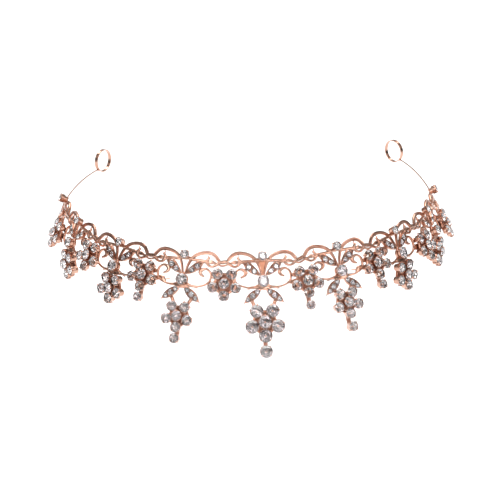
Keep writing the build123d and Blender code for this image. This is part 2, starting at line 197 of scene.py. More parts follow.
# Pendants: centre height, ring, stone radius, tabs, and the degrees that they lean outwards
PENDANTS = {
    "center": (-13.84, BIG_RING, BIG_STONE, PENDANT_TABS, FLARE),
    "left_1": (-12.6, SMALL_RING, FLOWER_STONE, SMALL_PENDANT_TABS, FLARE),
    "right_1": (-11.0, SMALL_RING, FLOWER_STONE, SHORT_PENDANT_TABS, FLARE),
    "left_2": (-7.3, SMALL_RING, FLOWER_STONE, STRAP, 14.0),
    "right_2": (-7.3, SMALL_RING, FLOWER_STONE, STRAP, 14.0),
    "left_3": (-7.3, SMALL_RING, FLOWER_STONE, STRAP, 4.0),
    "right_3": (-7.4, SMALL_RING, FLOWER_STONE, STRAP, 4.0),
}
# Drops: height and stone radius
PENDANT_DROPS = {
    "center": (-23.72, BIG_DROP_STONE),
    "left_1": (-20.25, MID_DROP_STONE),
    "right_1": (-19.45, MID_DROP_STONE),
}
FLOWER_DROPS = {
    "right_1": (-9.43, SMALL_DROP_STONE),
    "left_2": (-8.6, SMALL_DROP_STONE),
    "right_2": (-7.55, SMALL_DROP_STONE),
}

SIDES = {"left": -1, "right": 1}
MIDDLE_THREE = (-1, 0, 1)
BUTTERFLY_NUMBERS = (1, 2, 3)
FLOWER_NUMBERS = (1, 2, 3, 4)
END_NUMBER = 4  # the end terminals, counted from the middle like the butterflies
UNITS = [("center", 0)]
for side_name, side in SIDES.items():
    UNITS += [(f"{side_name}_{number}", side * number) for number in BUTTERFLY_NUMBERS]


def lift_of(number):
    """Lift of a unit, counted from the middle one towards +X; the end terminals are the last ones."""
    return LIFTS[number + END_NUMBER]


def unit_of(number):
    """Angle and lift of a unit."""
    return (number * PITCH, lift_of(number))


def axes(unit, x=0.0, flare=FLARE):
    """Directions at a place on the band: along it, up the cone, outwards."""
    turn = math.radians(unit[0]) + x / BAND_RADIUS
    lean = math.radians(flare)
    outward = Vector((math.sin(turn), -math.cos(turn), 0))
    up = Vector((0, 0, 1)) * math.cos(lean) - outward * math.sin(lean)
    normal = outward * math.cos(lean) + Vector((0, 0, 1)) * math.sin(lean)
    return Vector((math.cos(turn), math.sin(turn), 0)), up, normal


def place(unit, x, y, w):
    """Point on the curved band, for a unit that is an angle from the front and a lift up the cone."""
    turn = math.radians(unit[0]) + x / BAND_RADIUS
    outward = Vector((math.sin(turn), -math.cos(turn), 0))
    up, normal = axes(unit, x)[1:]
    return outward * BAND_RADIUS + up * (y + unit[1]) + normal * w


def flat_place(unit):
    """Placing function for a casting on the flat that touches the band at a unit's angle."""
    along, up, normal = axes(unit)
    foot = place(unit, 0, 0, 0)
    return lambda x, y, w: foot + along * x + up * y + normal * w


def hung_place(unit, flare):
    """Placing function for a pendant whose back bends off the cone to hang at its own flare."""
    bend = place(unit, 0, STRAP_BEND_Y, PENDANT_BACK)
    along, up, normal = axes(unit, 0, flare)
    return lambda x, y, w: bend + along * x + up * (y - STRAP_BEND_Y) + normal * (w - PENDANT_BACK)


def facing(spot):
    """Outward direction of a placing function."""
    return (spot(0, 0, 1) - spot(0, 0, 0)).normalized()


# ------------------------------------------------------------------ mesh building
BAR_SIDES = 12  # points round a cast wire
BAR_FLANKS = (5, 11)  # the faces in the middle of its two flanks, painted with mid shade
BAR_FACE = 2  # the face in the middle of its front, painted with shade where a groove runs
BAR_SQUARENESS = 0.75  # 1 gives an oval section, less gives a squarer one
GROOVE_ABOVE = 0.8  # a groove takes the points over this part of the half depth
GROOVE_WITHIN = 0.45  # and inside this part of the half width
METAL_ANGLE = 35.0  # degrees between faces over which an edge of the metal stays crisp
FACET_ANGLE = 1.0  # the same for the stones, so that every facet stays flat


class Shape:
    """Collects closed rings of points into one mesh; every face has a material number."""

    def __init__(self):
        self.points = []
        self.faces = []
        self.kinds = []

    def loft(self, rings, kind=METAL, start=True, end=True):
        """Skin between rings of equally many points; start and end say which of its ends are capped."""
        first = len(self.points)
        count = len(rings[0])
        for ring in rings:
            self.points.extend(ring)
        for row in range(len(rings) - 1):
            for number in range(count):
                after = (number + 1) % count
                low = first + row * count
                high = low + count
                self.faces.append((low + number, low + after, high + after, high + number))
                self.kinds.append(kind)
        if start:
            self.faces.append(tuple(first + number for number in reversed(range(count))))
            self.kinds.append(kind)
        if end:
            last = first + (len(rings) - 1) * count
            self.faces.append(tuple(last + number for number in range(count)))
            self.kinds.append(kind)

    def turned(self, centre, normal, profile, sides=24, kind=METAL):
        """Ring-by-ring turned shape: the profile is (radius, height) pairs along the normal."""
        across = normal.orthogonal().normalized()
        beside = normal.cross(across)
        rings = []
        for radius, height in profile:
            ring = []
            for number in range(sides):
                turn = 2 * math.pi * number / sides
                spoke = across * math.cos(turn) + beside * math.sin(turn)
                ring.append(centre + spoke * radius + normal * height)
            rings.append(ring)
        self.loft(rings, kind)

    def ball(self, centre, normal, radius, squash=1.0, sides=12, rows=7):
        """A round bead, flattened along its normal by squash."""
        profile = []
        for row in range(1, rows):
            turn = math.pi * row / rows
            profile.append((radius * math.sin(turn), -radius * squash * math.cos(turn)))
        self.turned(centre, normal, profile, sides)

    def wire(self, points, normals, widths, depths, sides=BAR_SIDES, kind=METAL, groove=0.0):
        """Cast wire with a rounded-square section that follows points; a groove can run along its face. A
        full-round metal wire gets painted mid shade in the middle of its flanks, and painted shade in its
        groove.
        """
        rings = []
        for number, point in enumerate(points):
            before = points[max(number - 1, 0)]
            after = points[min(number + 1, len(points) - 1)]
            forward = (after - before).normalized()
            normal = (normals[number] - forward * normals[number].dot(forward)).normalized()
            across = forward.cross(normal)
            ring = []
            for side in range(sides):
                turn = 2 * math.pi * (side + 0.5) / sides
                x = math.copysign(abs(math.cos(turn)) ** BAR_SQUARENESS, math.cos(turn))
                y = math.copysign(abs(math.sin(turn)) ** BAR_SQUARENESS, math.sin(turn))
                if y > GROOVE_ABOVE and abs(x) < GROOVE_WITHIN:
                    y -= groove
                ring.append(point + across * (x * widths[number]) + normal * (y * depths[number]))
            rings.append(ring)
        first = len(self.kinds)
        self.loft(rings, kind)
        # Painted shade: mid shade on the middle of the flanks, and darker shade on the groove's floor
        if kind == METAL and sides == BAR_SIDES:
            for row in range(len(rings) - 1):
                for number in BAR_FLANKS:
                    self.kinds[first + row * sides + number] = MID_SHADE_PAINT
                if groove:
                    self.kinds[first + row * sides + BAR_FACE] = SHADE_PAINT

    def make(self, name, materials, sharp=METAL_ANGLE):
        """Turn what was collected into an object, in metres; edges over the sharp angle stay crisp."""
        mesh = bpy.data.meshes.new(name)
        mesh.from_pydata([point * MM for point in self.points], [], self.faces)
        for material in materials:
            mesh.materials.append(material)
        mesh.polygons.foreach_set("material_index", self.kinds)
        mesh.validate()
        mesh.shade_smooth()
        mesh.set_sharp_from_angle(angle=math.radians(sharp))
        made = bpy.data.objects.new(name, mesh)
        bpy.context.scene.collection.objects.link(made)
        return made


def smooth_path(points, steps=6):
    """Catmull-Rom curve through 2-D or 3-D points."""
    points = [Vector(point) for point in points]
    if len(points) == 2:
        return [points[0].lerp(points[1], step / steps) for step in range(steps + 1)]
    ends = [points[0] * 2 - points[1]] + points + [points[-1] * 2 - points[-2]]
    path = []
    for number in range(1, len(ends) - 2):
        a, b, c, d = ends[number - 1 : number + 3]
        for step in range(steps):
            t = step / steps
            bend = a * 2 - b * 5 + c * 4 - d
            twist = b * 3 - a - c * 3 + d
            path.append((b * 2 + (c - a) * t + bend * t * t + twist * t**3) * 0.5)
    path.append(points[-1])
    return path


def band_wire(shape, unit, side, points, width, depth, scales=(1.0, 1.0), steps=6, groove=0.0):
    """Wire on the curved band; scales widen or narrow it along its length, and flatten it where thin."""
    path = smooth_path(points, steps)
    last = len(path) - 1
    places = []
    normals = []
    widths = []
    depths = []
    for number, point in enumerate(path):
        spread = number / last * (len(scales) - 1)
        base = min(int(spread), len(scales) - 2)
        scale = scales[base] + (scales[base + 1] - scales[base]) * (spread - base)
        places.append(place(unit, side * point.x, point.y, 0))
        normals.append(axes(unit, side * point.x)[2])
        widths.append(width / 2 * scale)
        depths.append(depth / 2 * min(1.0, 0.6 + 0.4 * scale))
    shape.wire(places, normals, widths, depths, kind=METAL, groove=groove)


# ------------------------------------------------------------------ stones and cups
# A stone's proportions, as parts of its radius
CROWN = 0.34
TABLE = 0.58
PAVILION = 0.78
CULET = 0.12
GIRDLE_HALF = 0.03
TABLE_SIDES = 8
GIRDLE_SIDES = 16
STONE_TURN = 1.5  # radians that a stone may be turned in its cup

CUP_RIM = 0.1  # width of a cup's lip outside its stone
CUP_SIDES = 20
CUP_FOOT = -0.3  # height of the foot of a cup on a frame, from the middle of the casting
CLAW_TURN = 0.785  # radians to the first of four claws
CORE_CLAWS = 5
CORE_CLAW_TURN = 0.3
CLAW_TAPER = 0.35  # that a claw loses of its thickness towards its tip


def add_stone(shape, centre, normal, radius, turn):
    """Foil-backed round stone: eight-sided table, eight kites, sixteen lower facets."""
    across = normal.orthogonal().normalized()
    across = Matrix.Rotation(turn, 3, normal) @ across
    beside = normal.cross(across)

    def ring(size, height, count):
        points = []
        for number in range(count):
            angle = 2 * math.pi * number / count
            level = centre + across * (size * math.cos(angle)) + beside * (size * math.sin(angle))
            points.append(level + normal * height)
        return points

    first = len(shape.points)
    shape.points.extend(ring(radius * TABLE, radius * CROWN, TABLE_SIDES))
    shape.points.extend(ring(radius, radius * GIRDLE_HALF, GIRDLE_SIDES))
    shape.points.extend(ring(radius, -radius * GIRDLE_HALF, GIRDLE_SIDES))
    shape.points.extend(ring(radius * CULET, -radius * PAVILION, TABLE_SIDES))
    top = [first + number for number in range(TABLE_SIDES)]
    up = [first + TABLE_SIDES + number for number in range(GIRDLE_SIDES)]
    down = [number + GIRDLE_SIDES for number in up]
    foot = [down[-1] + 1 + number for number in range(TABLE_SIDES)]
    shape.faces.append(tuple(top))
    shape.kinds.append(CRYSTAL)
    for number in range(TABLE_SIDES):
        after = (number + 1) % TABLE_SIDES
        girdle = 2 * number
        shape.faces.append((top[number], up[girdle], up[girdle + 1]))
        shape.faces.append((top[number], up[girdle + 1], top[after]))
        shape.faces.append((top[after], up[girdle + 1], up[(girdle + 2) % GIRDLE_SIDES]))
        shape.kinds.extend([CRYSTAL] * 3)
    for number in range(GIRDLE_SIDES):
        after = (number + 1) % GIRDLE_SIDES
        shape.faces.append((up[number], down[number], down[after], up[after]))
        shape.kinds.append(CRYSTAL)
    for number in range(TABLE_SIDES):
        after = (number + 1) % TABLE_SIDES
        girdle = 2 * number
        shape.faces.append((down[girdle], foot[number], down[girdle + 1]))
        shape.faces.append((down[girdle + 1], foot[number], foot[after]))
        shape.faces.append((down[girdle + 1], foot[after], down[(girdle + 2) % GIRDLE_SIDES]))
        shape.kinds.extend([FOIL] * 3)
    shape.faces.append(tuple(reversed(foot)))
    shape.kinds.append(FOIL)


def add_cup(shape, spot, x, y, foot, girdle, radius, claws=4, turn=CLAW_TURN):
    """Claw cup: a tapered wall with a lip under the stone's girdle, and claws bent over its edge."""
    centre = spot(x, y, foot)
    top = spot(x, y, girdle)
    normal = facing(spot)
    height = girdle - foot
    outer = radius + CUP_RIM
    # Radius and height of the wall: up the outside, over the lip and down under the stone
    profile = [
        (radius * 0.66, 0.0),
        (radius * 0.74, 0.06),
        (radius * 0.8, height * 0.3),
        (radius * 0.93, height * 0.62),
        (outer, height * 0.86),
        (outer, height - 0.03),
        (outer - 0.05, height),
        (radius - 0.02, height - 0.04),
        (radius * 0.6, height - radius * 0.55),
        (radius * 0.15, height - radius * 0.8),
    ]
    shape.turned(centre, normal, profile, CUP_SIDES)
    across = (spot(1, 0, 0) - spot(0, 0, 0)).normalized()
    beside = normal.cross(across)
    thick = 0.13 + 0.05 * radius
    for number in range(claws):
        angle = turn + 2 * math.pi * number / claws
        spoke = across * math.cos(angle) + beside * math.sin(angle)
        low = top + spoke * (outer - 0.02) - normal * (height * 0.55)
        knee = top + spoke * (outer + 0.04) + normal * (radius * 0.05)
        tip = top + spoke * (radius * 0.84) + normal * (radius * 0.26)
        path = smooth_path([low, knee - normal * 0.1, knee + normal * 0.08 - spoke * 0.05, tip], 3)
        tangent = normal.cross(spoke)
        sizes = [thick * (1.0 - CLAW_TAPER * step / (len(path) - 1)) for step in range(len(path))]
        shape.wire(path, [tangent] * len(path), [size * 0.8 for size in sizes], sizes, 8)


def petal_points(centre_y, ring):
    """Places of a flower's five petals, one of them straight down."""
    turns = [math.radians(360 / PETALS * number) for number in range(PETALS)]
    return [(ring * math.sin(turn), centre_y - ring * math.cos(turn)) for turn in turns]


def add_leaf(shape, stones, unit, side, ends, width, step, sizes, random_turns):
    """Pavé leaf: pointed shell with a raised rim, a floor painted with shade, a spur at the tip and a row of
    stones.
    """
    root, tip = [Vector((side * x, y)) for x, y in ends]
    length = (tip - root).length
    forward = (tip - root).normalized()
    across = Vector((-forward.y, forward.x))
    middle = (root + tip) / 2
    bow = (length * length / 4 + width * width / 4) / width
    spot = flat_place(unit)

    def outline(inset, w):
        ring = []
        half = length / 2 - inset * 2.2
        for way in (1, -1):
            for number in range(LEAF_POINTS):
                along = (-half + 2 * half * number / LEAF_POINTS) * way
                reach = math.sqrt(max(bow * bow - along * along, 0)) - (bow - width / 2) - inset
                point = middle + forward * along + across * (max(reach, 0.0) * way)
                ring.append(spot(point.x, point.y, w))
        return ring

    body = [
        outline(0.16, -PLATE / 2),
        outline(0.03, -PLATE / 2 + 0.12),
        outline(0.0, 0.0),
        outline(0.0, 0.72),
        outline(0.06, 0.86),
        outline(0.17, LEAF_FACE),
    ]
    # Floor and inner wall of the leaf: painted shade
    floor = [outline(0.17, LEAF_FACE), outline(LEAF_RIM, 0.76), outline(LEAF_RIM + 0.02, -0.1)]
    shape.loft(body, METAL, True, False)
    shape.loft(floor, SHADE_PAINT, False, True)
    spur = [spot(*(tip + forward * reach), 0.1) for reach in (-0.5, 0.1, 0.55)]
    normal = axes(unit)[2]
    shape.wire(spur, [normal] * 3, [0.26, 0.17, 0.05], [0.3, 0.18, 0.05], 8)
    for number, radius in enumerate(sizes):
        along = (number - (len(sizes) - 1) / 2) * step
        point = middle + forward * along
        turn = random_turns.uniform(0, STONE_TURN)
        add_stone(stones, spot(point.x, point.y, LEAF_GIRDLE), normal, radius * LEAF_STONE_SPREAD, turn)
    for number in range(len(sizes) + 1):
        along = (number - len(sizes) / 2) * step
        reach = math.sqrt(max(bow * bow - along * along, 0)) - (bow - width / 2) - LEAF_BEAD_INSET
        for way in (1, -1):
            bead = middle + forward * along + across * (way * max(reach, 0.1))
            shape.ball(spot(bead.x, bead.y, LEAF_BEAD_HEIGHT), normal, LEAF_BEAD, 0.9, 8, 5)


# ------------------------------------------------------------------ materials
# Noise scales, per metre of the object
PLATING_SCALE = 320.0
GRAIN_SCALE = 1500.0
GLASS_SCALE = 260.0
FOIL_SCALE = 700.0
GRAIN_ROUGHNESS = (0.75, 1.3)  # the least and the most, as parts of the material's own
GRAIN_STRENGTH = 0.35
GRAIN_DEPTH = 0.00003  # metres
GLASS_IOR = 1.58


def new_material(name):
    """New node material, with its shader, its nodes and its links."""
    material = bpy.data.materials.new(name)
    material.use_nodes = True
    nodes = material.node_tree.nodes
    return material, nodes["Principled BSDF"], nodes, material.node_tree.links


def cloudy_material(name, scale, first, second, span=(0.35, 0.65)):
    """Material whose colour wanders between two shades in soft clouds, with its coordinates and its noise."""
    material, shader, nodes, links = new_material(name)
    place_node = nodes.new("ShaderNodeTexCoord")
    cloud = nodes.new("ShaderNodeTexNoise")
    cloud.inputs["Scale"].default_value = scale
    links.new(place_node.outputs["Object"], cloud.inputs["Vector"])
    tint = nodes.new("ShaderNodeValToRGB")
    for element, position, colour in zip(tint.color_ramp.elements, span, (first, second)):
        element.position = position
        element.color = (*colour, 1)
    links.new(cloud.outputs["Fac"], tint.inputs["Fac"])
    links.new(tint.outputs["Color"], shader.inputs["Base Color"])
    return material, shader, nodes, links, place_node, cloud


def mapped(nodes, links, value, span, onto):
    """A value's span stretched onto another one."""
    node = nodes.new("ShaderNodeMapRange")
    for name, number in zip(("From Min", "From Max", "To Min", "To Max"), (*span, *onto)):
        node.inputs[name].default_value = number
    links.new(value, node.inputs["Value"])
    return node.outputs["Result"]


def rose_gold(name, light, deep, roughness):
    """Plated casting: warm tint that wanders between two shades, with a fine grain in gloss and surface."""
    material, shader, nodes, links, place_node, cloud = cloudy_material(name, PLATING_SCALE, deep, light)
    cloud.inputs["Detail"].default_value = 3.0
    shader.inputs["Metallic"].default_value = 1.0
    grain = nodes.new("ShaderNodeTexNoise")
    grain.inputs["Scale"].default_value = GRAIN_SCALE
    grain.inputs["Detail"].default_value = 2.0
    links.new(place_node.outputs["Object"], grain.inputs["Vector"])
    rough = [roughness * part for part in GRAIN_ROUGHNESS]
    gloss = mapped(nodes, links, grain.outputs["Fac"], (0.0, 1.0), rough)
    links.new(gloss, shader.inputs["Roughness"])
    bump = nodes.new("ShaderNodeBump")
    bump.inputs["Strength"].default_value = GRAIN_STRENGTH
    bump.inputs["Distance"].default_value = GRAIN_DEPTH
    links.new(grain.outputs["Fac"], bump.inputs["Height"])
    links.new(bump.outputs["Normal"], shader.inputs["Normal"])
    return material


def crystal(name):
    """Clear cut glass with a faint uneven tint."""
    tints = ((0.93, 0.95, 0.94), (0.97, 0.94, 0.97))
    material, shader = cloudy_material(name, GLASS_SCALE, *tints, (0.4, 0.6))[:2]
    shader.inputs["Transmission Weight"].default_value = 1.0
    shader.inputs["IOR"].default_value = GLASS_IOR
    shader.inputs["Roughness"].default_value = 0.0
    return material


def foil(name):
    """Silver backing seen through the stone, with a slightly uneven tint."""
    tints = ((0.47, 0.44, 0.44), (0.65, 0.62, 0.62))
    material, shader = cloudy_material(name, FOIL_SCALE, *tints)[:2]
    shader.inputs["Metallic"].default_value = 1.0
    shader.inputs["Roughness"].default_value = 0.08
    return material


GOLD = rose_gold("rose_gold_plating", (0.585, 0.37, 0.288), (0.47, 0.255, 0.183), 0.2)
# Darker copies of the plating: painted shade for grooves, leaf floors, cluster rings and drop bridges, and
# painted mid shade for wire flanks and the V plate
GOLD_PAINTED_SHADE = rose_gold("rose_gold_painted_shade", (0.46, 0.235, 0.17), (0.28, 0.12, 0.085), 0.4)
GOLD_PAINTED_MID_SHADE = rose_gold("rose_gold_painted_mid_shade", (0.56, 0.25, 0.155), (0.40, 0.16, 0.095), 0.32)
GLASS = crystal("cut_crystal")
BACKING = foil("foil_backing")


def metal_piece(shape, name, node):
    """Finish a casting that stands for a CAD node."""
    piece = shape.make(name, [GOLD, GOLD_PAINTED_SHADE, GOLD_PAINTED_MID_SHADE])
    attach(piece, "root")
    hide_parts(node)


def stone_piece(shape, name, node):
    """Finish a group of stones that stands for a CAD node."""
    piece = shape.make(name, [GLASS, BACKING], FACET_ANGLE)
    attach(piece, "root")
    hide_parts(node)


# ------------------------------------------------------------------ castings
# Wires of a wing: points, width, depth, and how they swell along their length
RAIL_WIDTH = 1.3
RAIL_SWELL = [0.55, 0.75, 0.95, 1.0, 1.05, 1.0, 1.0, 1.05]
RAIL_GROOVE = 0.3
JUNCTIONS = ((JUNCTION_BAR, 1.35, PLATE), (JUNCTION_STRAND, 0.7, 0.9))
JUNCTION_SWELL = [1.0, 1.0, 1.05]
WING_WIRES = (
    (UNDER_CURL, 0.9, 0.95, [1.5, 1.2, 1.0, 1.0, 1.2, 1.4, 0.9]),
    (CURL_PLATE, 1.6, 0.5, [0.6, 1.0, 0.4]),
    (SIDE_BAR, 1.15, 0.9, [1.0, 0.95, 1.3]),
    (LEAF_RAIL, 0.6, 0.9, [0.8, 1.0, 1.0, 0.8]),
    (LOWER_SCROLL, 0.8, 0.95, SCROLL_SWELL),
)
# The shorter ones, with the steps between their points
WING_TIPS = (
    (CURL_ROOT, 1.3, 0.9, [0.6, 1.2, 0.5], 4),
    (CURL_TIP, 0.55, 0.6, [1.0, 0.8, 0.3], 3),
    (SCROLL_CROOK, 1.1, 0.8, [1.0, 0.8, 0.2], 4),
)
BULB_WIRES = (
    (BULB, 2.3, 1.0, [0.3, 1.0, 0.35], 5),
    (BULB_SPUR, 0.5, 0.7, [1.0, 0.9, 0.3], 4),
)
SPUR_WIRES = ((SCROLL_SPUR, 0.55, 0.7, [1.2, 1.0, 0.3], 4),)
FLEUR_WIRES = tuple((points, width, 0.9, [0.35, 1.0, 0.55], 5) for points, width in FLEUR_PETALS)


def add_wing(shape, number, side, bulb=False):
    """One wing: the rail arc, its under-curl and bars, the lower scroll and half a fleur.

    Its outer bars climb or drop to meet the next unit's halfway, and only a left scroll ends in a bead.
    """
    unit = unit_of(number)
    meet = (lift_of(number + side) - lift_of(number)) / 2
    normal = axes(unit)[2]
    band_wire(shape, unit, side, WING_ARC, RAIL_WIDTH, PLATE, RAIL_SWELL, groove=RAIL_GROOVE)
    for points, width, depth in JUNCTIONS:
        last = (points[-1][0], points[-1][1] + meet)
        band_wire(shape, unit, side, points[:-1] + [last], width, depth, JUNCTION_SWELL)
    for wire in WING_WIRES:
        band_wire(shape, unit, side, *wire)
    shape.ball(place(unit, side * CURL_KNOB[0], CURL_KNOB[1], 0), normal, 0.5, 0.9)
    for wire in WING_TIPS:
        band_wire(shape, unit, side, *wire)
    if side < 0:
        shape.ball(place(unit, side * SCROLL_KNOB[0], SCROLL_KNOB[1], 0), normal, 0.45, 0.9)
    for wire in (BULB_WIRES if bulb else SPUR_WIRES) + FLEUR_WIRES:
        band_wire(shape, unit, side, *wire)


def add_v(shape, unit, filled):
    """The V over a body stone: the wings are its legs, joined by a bar and a stem; a plate can fill it,
    painted with mid shade.
    """
    half, top = V_CORNER
    spot = flat_place(unit)
    bar = [(-half, top - 0.4), (0, top - 0.5), (half, top - 0.4)]
    band_wire(shape, unit, 1, bar, 1.2, 1.0, [0.9, 1.1, 0.9])
    band_wire(shape, unit, 1, [(0, 0), (0, 2.6)], 1.3, PLATE, [1.0, 0.7])
    if filled:
        # The filling plate is painted with mid shade, for a recessed look
        rings = []
        for inset, w in ((0.25, -0.5), (0.1, -0.42), (0.1, 0.2), (0.3, 0.3)):
            apex = (0, V_APEX[1] + 1.5 * inset)
            corners = [apex, (half - inset, top - inset), (-half + inset, top - inset)]
            ring = []
            for before, after in zip(corners, corners[1:] + corners[:1]):
                for step in range(4):
                    t = step / 4
                    x = before[0] + (after[0] - before[0]) * t
                    y = before[1] + (after[1] - before[1]) * t
                    ring.append(spot(x, y, w))
            rings.append(ring)
        shape.loft(rings, MID_SHADE_PAINT)


def add_body_plate(shape, unit):
    """Rounded plate under the body cup, where the scrolls and lower leaves meet, and the cup's seat."""
    spot = flat_place(unit)
    rings = []
    for scale, w in ((0.9, -0.55), (1.0, -0.42), (1.0, 0.4), (0.9, 0.55)):
        ring = []
        for number in range(PLATE_SIDES):
            turn = 2 * math.pi * number / PLATE_SIDES
            x = PLATE_HALF_LENGTH * scale * math.cos(turn)
            y = PLATE_Y + PLATE_HALF_HEIGHT * scale * math.sin(turn)
            ring.append(spot(x, y, w))
        rings.append(ring)
    shape.loft(rings, METAL)
    shape.turned(spot(0, 0, -0.5), axes(unit)[2], [(1.7, 0.0), (1.9, 0.12), (1.9, 0.9), (1.8, 1.0)])


def add_small_leaf(shape, stones, unit, side, turns):
    """Upper leaf with its two stones."""
    leaf = (UPPER_LEAF, UPPER_LEAF_WIDTH, UPPER_LEAF_STEP, UPPER_LEAF_STONES)
    add_leaf(shape, stones, unit, side, *leaf, turns)


def add_large_leaf(shape, stones, unit, side, turns):
    """Lower leaf with its three stones."""
    leaf = (LOWER_LEAF, LOWER_LEAF_WIDTH, LOWER_LEAF_STEP, LOWER_LEAF_STONES)
    add_leaf(shape, stones, unit, side, *leaf, turns)


# Seeds for the turns of the stones
FRAME_SEED = 100
END_SEED = 200
FLOWER_SEED = 50

# Widths of the soldered strips, and levels of the two kinds that stand higher than their tab
ARM_STRIP = 1.3
RING_STRIP = 1.0
DROP_STRIP = 1.5
RING_LEVELS = (0.1, 1.0)
BRIDGE_LEVELS = (0.1, 1.1)
BRIDGE_END = 0.3  # that a drop's bridge is shorter than its tab at each end


def butterfly(name, number):
    """Frame of one butterfly with its stones."""
    unit = unit_of(number)
    shape = Shape()
    stones = Shape()
    turns = random.Random(FRAME_SEED + number)
    for side in (-1, 1):
        add_wing(shape, number, side, side * number == 1)
        add_small_leaf(shape, stones, unit, side, turns)
        if number in MIDDLE_THREE:
            add_large_leaf(shape, stones, unit, side, turns)
    add_v(shape, unit, number == 0)
    add_body_plate(shape, unit)
    spot = flat_place(unit)
    normal = axes(unit)[2]
    for y, radius in ((0, BODY_STONE), (TOP_STONE_Y, TOP_STONE)):
        add_cup(shape, spot, 0, y, CUP_FOOT, BODY_GIRDLE, radius)
        add_stone(stones, spot(0, y, BODY_GIRDLE), normal, radius, turns.uniform(0, STONE_TURN))
    metal_piece(shape, f"scroll_frame_{name}", f"butterfly_frame_{name}")
    stone_piece(stones, f"frame_crystals_{name}", f"butterfly_stones_{name}")


def add_flat_strip(shape, spot, points, width, low, high, kind=METAL):
    """Flat soldering strip with rounded edges between two levels of a casting."""
    path = smooth_path(points, 4)
    places = [spot(point.x, point.y, (low + high) / 2) for point in path]
    count = len(path)
    shape.wire(places, [facing(spot)] * count, [width / 2] * count, [(high - low) / 2] * count, kind=kind)


def cluster(shape, name, nodes, spot, centre_y, ring, radius, foot, girdle, core_girdle, seed):
    """Five claw cups round a raised one, on a plate and a star of thin arms, with its stones."""
    stones = Shape()
    normal = facing(spot)
    turns = random.Random(seed)
    petals = petal_points(centre_y, ring)
    for petal in petals:
        add_flat_strip(shape, spot, [(0, centre_y), petal], ARM_STRIP, foot, foot + SOLDER_TAB)
    reach = ring * CLUSTER_PLATE
    plate = [(reach - 0.1, 0.0), (reach, 0.1), (reach, 0.5), (reach - 0.1, 0.6)]
    shape.turned(spot(0, centre_y, foot), normal, plate, CLUSTER_PLATE_SIDES)
    # Darker ring at the plate's top edge, between the cups: painted shade
    shade_ring = [(reach - 0.2, 0.59), (reach - 0.3, 0.64)]
    shape.turned(spot(0, centre_y, foot), normal, shade_ring, CLUSTER_PLATE_SIDES, SHADE_PAINT)
    for first, second in zip(petals, petals[1:] + petals[:1]):
        add_flat_strip(shape, spot, [first, second], RING_STRIP, foot + RING_LEVELS[0], foot + RING_LEVELS[1])
    for number, (x, y) in enumerate(petals):
        add_cup(shape, spot, x, y, foot, girdle, radius, turn=CLAW_TURN + number * 2 * math.pi / PETALS)
        add_stone(stones, spot(x, y, girdle), normal, radius * STONE_SPREAD, turns.uniform(0, STONE_TURN))
    add_cup(shape, spot, 0, centre_y, foot, core_girdle, radius, CORE_CLAWS, CORE_CLAW_TURN)
    turn = turns.uniform(0, STONE_TURN)
    add_stone(stones, spot(0, centre_y, core_girdle), normal, radius * STONE_SPREAD, turn)
    metal_piece(shape, name, nodes[0])
    stone_piece(stones, name.replace("cluster", "crystals"), nodes[1])


drop_stones = Shape()


def drop(name, node, spot, from_y, centre_y, radius, foot, girdle, turn):
    """A single claw cup on a short tab, with a solder bridge on the tab that is painted with shade."""
    shape = Shape()
    low, high = [foot + level for level in BRIDGE_LEVELS]
    bridge = [(0, from_y - BRIDGE_END), (0, centre_y + BRIDGE_END)]
    add_flat_strip(shape, spot, [(0, from_y), (0, centre_y)], DROP_STRIP, foot, foot + SOLDER_TAB)
    # The bridge's darker colour is painted shade
    add_flat_strip(shape, spot, bridge, DROP_STRIP, low, high, SHADE_PAINT)
    add_cup(shape, spot, 0, centre_y, foot, girdle, radius)
    add_stone(drop_stones, spot(0, centre_y, girdle), facing(spot), radius * STONE_SPREAD, turn)
    metal_piece(shape, name, node)


def end_terminal(side_name, side):
    """Half a butterfly that closes the band."""
    number = side * END_NUMBER
    unit = unit_of(number)
    shape = Shape()
    stones = Shape()
    turns = random.Random(END_SEED + side)
    add_wing(shape, number, -side)
    add_small_leaf(shape, stones, unit, -side, turns)
    add_v(shape, unit, True)
    band_wire(shape, unit, side, END_EDGE, 0.8, PLATE, [0.75, 1.0, 1.0])
    band_wire(shape, unit, 1, END_STEM, 1.2, PLATE)
    band_wire(shape, unit, -side, END_FOOT, 0.9, PLATE)
    spot = flat_place(unit)
    add_cup(shape, spot, 0, TOP_STONE_Y, CUP_FOOT, END_GIRDLE, TOP_STONE)
    add_stone(stones, spot(0, TOP_STONE_Y, END_GIRDLE), facing(spot), TOP_STONE, END_STONE_TURN)
    metal_piece(shape, f"end_scroll_{side_name}", f"end_terminal_{side_name}")
    stone_piece(stones, f"end_crystals_{side_name}", f"end_stones_{side_name}")


# Wire arms, in the end terminals' own directions, and their loops
WIRE_RADIUS = 0.26
WIRE_START = (0.0, 9.98, 0.2)
WIRE_BOW = 0.7  # outwards and upwards at the middle of its length
WIRE_STEPS = 28
WIRE_SIDES = 10
LOOP_STRIP = 0.4  # thickness of the loop's strip
LOOP_WIDTH = 1.45
LOOP_SIDES = 64
LOOP_CORNER_DOWN = 0.66  # where the wire meets the loop, as parts of its radius
LOOP_CORNER_FRONT = 0.8
# Section of the strip, in halves of its width and of its thickness
LOOP_SECTION = ((-1, -0.7), (-0.93, -1), (0.93, -1), (1, -0.7), (1, 0.7), (0.93, 1), (-0.93, 1), (-1, 0.7))


